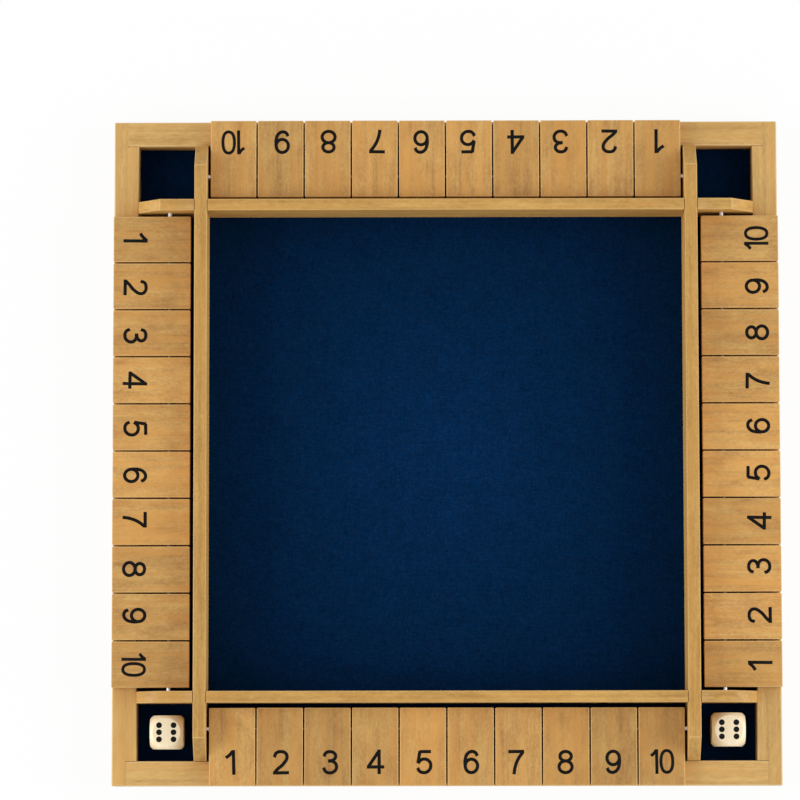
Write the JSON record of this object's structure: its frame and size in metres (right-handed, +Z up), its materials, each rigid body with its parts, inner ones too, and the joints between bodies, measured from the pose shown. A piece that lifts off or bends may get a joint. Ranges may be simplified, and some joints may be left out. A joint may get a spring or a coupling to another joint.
{
  "type": "shut the box game board",
  "caption": "Square shut the box board for a player on each side: pine frame, felt rolling tray, lanes of hinged number tiles on steel rods, and wooden dice in corner trays.",
  "frame": {"origin": "on the table, under the middle of the square board", "axes": "+Z up out of the board; +Y towards the north player, whose lane is the top one in the picture; +X to the right as the south player sees it"},
  "size_m": [0.31, 0.31, 0.0293],
  "materials": {
    "frame_wood": "satin",
    "tile_wood": "satin",
    "base_plywood": "matte",
    "navy_felt": "matte",
    "rod_steel": "bright",
    "die_wood": "satin",
    "pip_paint": "matte",
    "number_ink": "matte"
  },
  "bodies": {
    "root": {"base_panel": "base_plywood", "felt_lining": "navy_felt", "rail_south": "frame_wood", "rail_east": "frame_wood", "rail_north": "frame_wood", "rail_west": "frame_wood", "divider_south": "frame_wood", "divider_east": "frame_wood", "divider_north": "frame_wood", "divider_west": "frame_wood", "rod_south": "rod_steel", "rod_east": "rod_steel", "rod_north": "rod_steel", "rod_west": "rod_steel"},
    "tile_south_01": {"tile_south_01": "tile_wood"},
    "tile_south_02": {"tile_south_02": "tile_wood"},
    "tile_south_03": {"tile_south_03": "tile_wood"},
    "tile_south_04": {"tile_south_04": "tile_wood"},
    "tile_south_05": {"tile_south_05": "tile_wood"},
    "tile_south_06": {"tile_south_06": "tile_wood"},
    "tile_south_07": {"tile_south_07": "tile_wood"},
    "tile_south_08": {"tile_south_08": "tile_wood"},
    "tile_south_09": {"tile_south_09": "tile_wood"},
    "tile_south_10": {"tile_south_10": "tile_wood"},
    "tile_east_01": {"tile_east_01": "tile_wood"},
    "tile_east_02": {"tile_east_02": "tile_wood"},
    "tile_east_03": {"tile_east_03": "tile_wood"},
    "tile_east_04": {"tile_east_04": "tile_wood"},
    "tile_east_05": {"tile_east_05": "tile_wood"},
    "tile_east_06": {"tile_east_06": "tile_wood"},
    "tile_east_07": {"tile_east_07": "tile_wood"},
    "tile_east_08": {"tile_east_08": "tile_wood"},
    "tile_east_09": {"tile_east_09": "tile_wood"},
    "tile_east_10": {"tile_east_10": "tile_wood"},
    "tile_north_01": {"tile_north_01": "tile_wood"},
    "tile_north_02": {"tile_north_02": "tile_wood"},
    "tile_north_03": {"tile_north_03": "tile_wood"},
    "tile_north_04": {"tile_north_04": "tile_wood"},
    "tile_north_05": {"tile_north_05": "tile_wood"},
    "tile_north_06": {"tile_north_06": "tile_wood"},
    "tile_north_07": {"tile_north_07": "tile_wood"},
    "tile_north_08": {"tile_north_08": "tile_wood"},
    "tile_north_09": {"tile_north_09": "tile_wood"},
    "tile_north_10": {"tile_north_10": "tile_wood"},
    "tile_west_01": {"tile_west_01": "tile_wood"},
    "tile_west_02": {"tile_west_02": "tile_wood"},
    "tile_west_03": {"tile_west_03": "tile_wood"},
    "tile_west_04": {"tile_west_04": "tile_wood"},
    "tile_west_05": {"tile_west_05": "tile_wood"},
    "tile_west_06": {"tile_west_06": "tile_wood"},
    "tile_west_07": {"tile_west_07": "tile_wood"},
    "tile_west_08": {"tile_west_08": "tile_wood"},
    "tile_west_09": {"tile_west_09": "tile_wood"},
    "tile_west_10": {"tile_west_10": "tile_wood"},
    "die_west": {"die_west": "die_wood"},
    "die_east": {"die_east": "die_wood"}
  },
  "joints": [
    {"name": "tile_south_01_flip", "type": "hinge", "parent": "root", "child": "tile_south_01", "pos_m": [-0.09857, -0.1286, 0.0179], "axis": [-1, 0, 0], "range_deg": [0, 125]},
    {"name": "tile_south_02_flip", "type": "hinge", "parent": "root", "child": "tile_south_02", "pos_m": [-0.07667, -0.1286, 0.0179], "axis": [-1, 0, 0], "range_deg": [0, 125]},
    {"name": "tile_south_03_flip", "type": "hinge", "parent": "root", "child": "tile_south_03", "pos_m": [-0.05476, -0.1286, 0.0179], "axis": [-1, 0, 0], "range_deg": [0, 125]},
    {"name": "tile_south_04_flip", "type": "hinge", "parent": "root", "child": "tile_south_04", "pos_m": [-0.03286, -0.1286, 0.0179], "axis": [-1, 0, 0], "range_deg": [0, 125]},
    {"name": "tile_south_05_flip", "type": "hinge", "parent": "root", "child": "tile_south_05", "pos_m": [-0.01095, -0.1286, 0.0179], "axis": [-1, 0, 0], "range_deg": [0, 125]},
    {"name": "tile_south_06_flip", "type": "hinge", "parent": "root", "child": "tile_south_06", "pos_m": [0.01095, -0.1286, 0.0179], "axis": [-1, 0, 0], "range_deg": [0, 125]},
    {"name": "tile_south_07_flip", "type": "hinge", "parent": "root", "child": "tile_south_07", "pos_m": [0.03286, -0.1286, 0.0179], "axis": [-1, 0, 0], "range_deg": [0, 125]},
    {"name": "tile_south_08_flip", "type": "hinge", "parent": "root", "child": "tile_south_08", "pos_m": [0.05476, -0.1286, 0.0179], "axis": [-1, 0, 0], "range_deg": [0, 125]},
    {"name": "tile_south_09_flip", "type": "hinge", "parent": "root", "child": "tile_south_09", "pos_m": [0.07667, -0.1286, 0.0179], "axis": [-1, 0, 0], "range_deg": [0, 125]},
    {"name": "tile_south_10_flip", "type": "hinge", "parent": "root", "child": "tile_south_10", "pos_m": [0.09857, -0.1286, 0.0179], "axis": [-1, 0, 0], "range_deg": [0, 125]},
    {"name": "tile_east_01_flip", "type": "hinge", "parent": "root", "child": "tile_east_01", "pos_m": [0.1286, -0.09857, 0.0179], "axis": [0, -1, 0], "range_deg": [0, 125]},
    {"name": "tile_east_02_flip", "type": "hinge", "parent": "root", "child": "tile_east_02", "pos_m": [0.1286, -0.07667, 0.0179], "axis": [0, -1, 0], "range_deg": [0, 125]},
    {"name": "tile_east_03_flip", "type": "hinge", "parent": "root", "child": "tile_east_03", "pos_m": [0.1286, -0.05476, 0.0179], "axis": [0, -1, 0], "range_deg": [0, 125]},
    {"name": "tile_east_04_flip", "type": "hinge", "parent": "root", "child": "tile_east_04", "pos_m": [0.1286, -0.03286, 0.0179], "axis": [0, -1, 0], "range_deg": [0, 125]},
    {"name": "tile_east_05_flip", "type": "hinge", "parent": "root", "child": "tile_east_05", "pos_m": [0.1286, -0.01095, 0.0179], "axis": [0, -1, 0], "range_deg": [0, 125]},
    {"name": "tile_east_06_flip", "type": "hinge", "parent": "root", "child": "tile_east_06", "pos_m": [0.1286, 0.01095, 0.0179], "axis": [0, -1, 0], "range_deg": [0, 125]},
    {"name": "tile_east_07_flip", "type": "hinge", "parent": "root", "child": "tile_east_07", "pos_m": [0.1286, 0.03286, 0.0179], "axis": [0, -1, 0], "range_deg": [0, 125]},
    {"name": "tile_east_08_flip", "type": "hinge", "parent": "root", "child": "tile_east_08", "pos_m": [0.1286, 0.05476, 0.0179], "axis": [0, -1, 0], "range_deg": [0, 125]},
    {"name": "tile_east_09_flip", "type": "hinge", "parent": "root", "child": "tile_east_09", "pos_m": [0.1286, 0.07667, 0.0179], "axis": [0, -1, 0], "range_deg": [0, 125]},
    {"name": "tile_east_10_flip", "type": "hinge", "parent": "root", "child": "tile_east_10", "pos_m": [0.1286, 0.09857, 0.0179], "axis": [0, -1, 0], "range_deg": [0, 125]},
    {"name": "tile_north_01_flip", "type": "hinge", "parent": "root", "child": "tile_north_01", "pos_m": [0.09857, 0.1286, 0.0179], "axis": [1, 0, 0], "range_deg": [0, 125]},
    {"name": "tile_north_02_flip", "type": "hinge", "parent": "root", "child": "tile_north_02", "pos_m": [0.07667, 0.1286, 0.0179], "axis": [1, 0, 0], "range_deg": [0, 125]},
    {"name": "tile_north_03_flip", "type": "hinge", "parent": "root", "child": "tile_north_03", "pos_m": [0.05476, 0.1286, 0.0179], "axis": [1, 0, 0], "range_deg": [0, 125]},
    {"name": "tile_north_04_flip", "type": "hinge", "parent": "root", "child": "tile_north_04", "pos_m": [0.03286, 0.1286, 0.0179], "axis": [1, 0, 0], "range_deg": [0, 125]},
    {"name": "tile_north_05_flip", "type": "hinge", "parent": "root", "child": "tile_north_05", "pos_m": [0.01095, 0.1286, 0.0179], "axis": [1, 0, 0], "range_deg": [0, 125]},
    {"name": "tile_north_06_flip", "type": "hinge", "parent": "root", "child": "tile_north_06", "pos_m": [-0.01095, 0.1286, 0.0179], "axis": [1, 0, 0], "range_deg": [0, 125]},
    {"name": "tile_north_07_flip", "type": "hinge", "parent": "root", "child": "tile_north_07", "pos_m": [-0.03286, 0.1286, 0.0179], "axis": [1, 0, 0], "range_deg": [0, 125]},
    {"name": "tile_north_08_flip", "type": "hinge", "parent": "root", "child": "tile_north_08", "pos_m": [-0.05476, 0.1286, 0.0179], "axis": [1, 0, 0], "range_deg": [0, 125]},
    {"name": "tile_north_09_flip", "type": "hinge", "parent": "root", "child": "tile_north_09", "pos_m": [-0.07667, 0.1286, 0.0179], "axis": [1, 0, 0], "range_deg": [0, 125]},
    {"name": "tile_north_10_flip", "type": "hinge", "parent": "root", "child": "tile_north_10", "pos_m": [-0.09857, 0.1286, 0.0179], "axis": [1, 0, 0], "range_deg": [0, 125]},
    {"name": "tile_west_01_flip", "type": "hinge", "parent": "root", "child": "tile_west_01", "pos_m": [-0.1286, 0.09857, 0.0179], "axis": [0, 1, 0], "range_deg": [0, 125]},
    {"name": "tile_west_02_flip", "type": "hinge", "parent": "root", "child": "tile_west_02", "pos_m": [-0.1286, 0.07667, 0.0179], "axis": [0, 1, 0], "range_deg": [0, 125]},
    {"name": "tile_west_03_flip", "type": "hinge", "parent": "root", "child": "tile_west_03", "pos_m": [-0.1286, 0.05476, 0.0179], "axis": [0, 1, 0], "range_deg": [0, 125]},
    {"name": "tile_west_04_flip", "type": "hinge", "parent": "root", "child": "tile_west_04", "pos_m": [-0.1286, 0.03286, 0.0179], "axis": [0, 1, 0], "range_deg": [0, 125]},
    {"name": "tile_west_05_flip", "type": "hinge", "parent": "root", "child": "tile_west_05", "pos_m": [-0.1286, 0.01095, 0.0179], "axis": [0, 1, 0], "range_deg": [0, 125]},
    {"name": "tile_west_06_flip", "type": "hinge", "parent": "root", "child": "tile_west_06", "pos_m": [-0.1286, -0.01095, 0.0179], "axis": [0, 1, 0], "range_deg": [0, 125]},
    {"name": "tile_west_07_flip", "type": "hinge", "parent": "root", "child": "tile_west_07", "pos_m": [-0.1286, -0.03286, 0.0179], "axis": [0, 1, 0], "range_deg": [0, 125]},
    {"name": "tile_west_08_flip", "type": "hinge", "parent": "root", "child": "tile_west_08", "pos_m": [-0.1286, -0.05476, 0.0179], "axis": [0, 1, 0], "range_deg": [0, 125]},
    {"name": "tile_west_09_flip", "type": "hinge", "parent": "root", "child": "tile_west_09", "pos_m": [-0.1286, -0.07667, 0.0179], "axis": [0, 1, 0], "range_deg": [0, 125]},
    {"name": "tile_west_10_flip", "type": "hinge", "parent": "root", "child": "tile_west_10", "pos_m": [-0.1286, -0.09857, 0.0179], "axis": [0, 1, 0], "range_deg": [0, 125]},
    {"name": "die_west_lift", "type": "slide", "parent": "root", "child": "die_west", "axis": [0, 0, 1], "range_m": [0, 0.05]},
    {"name": "die_east_lift", "type": "slide", "parent": "root", "child": "die_east", "axis": [0, 0, 1], "range_m": [0, 0.05]}
  ]
}
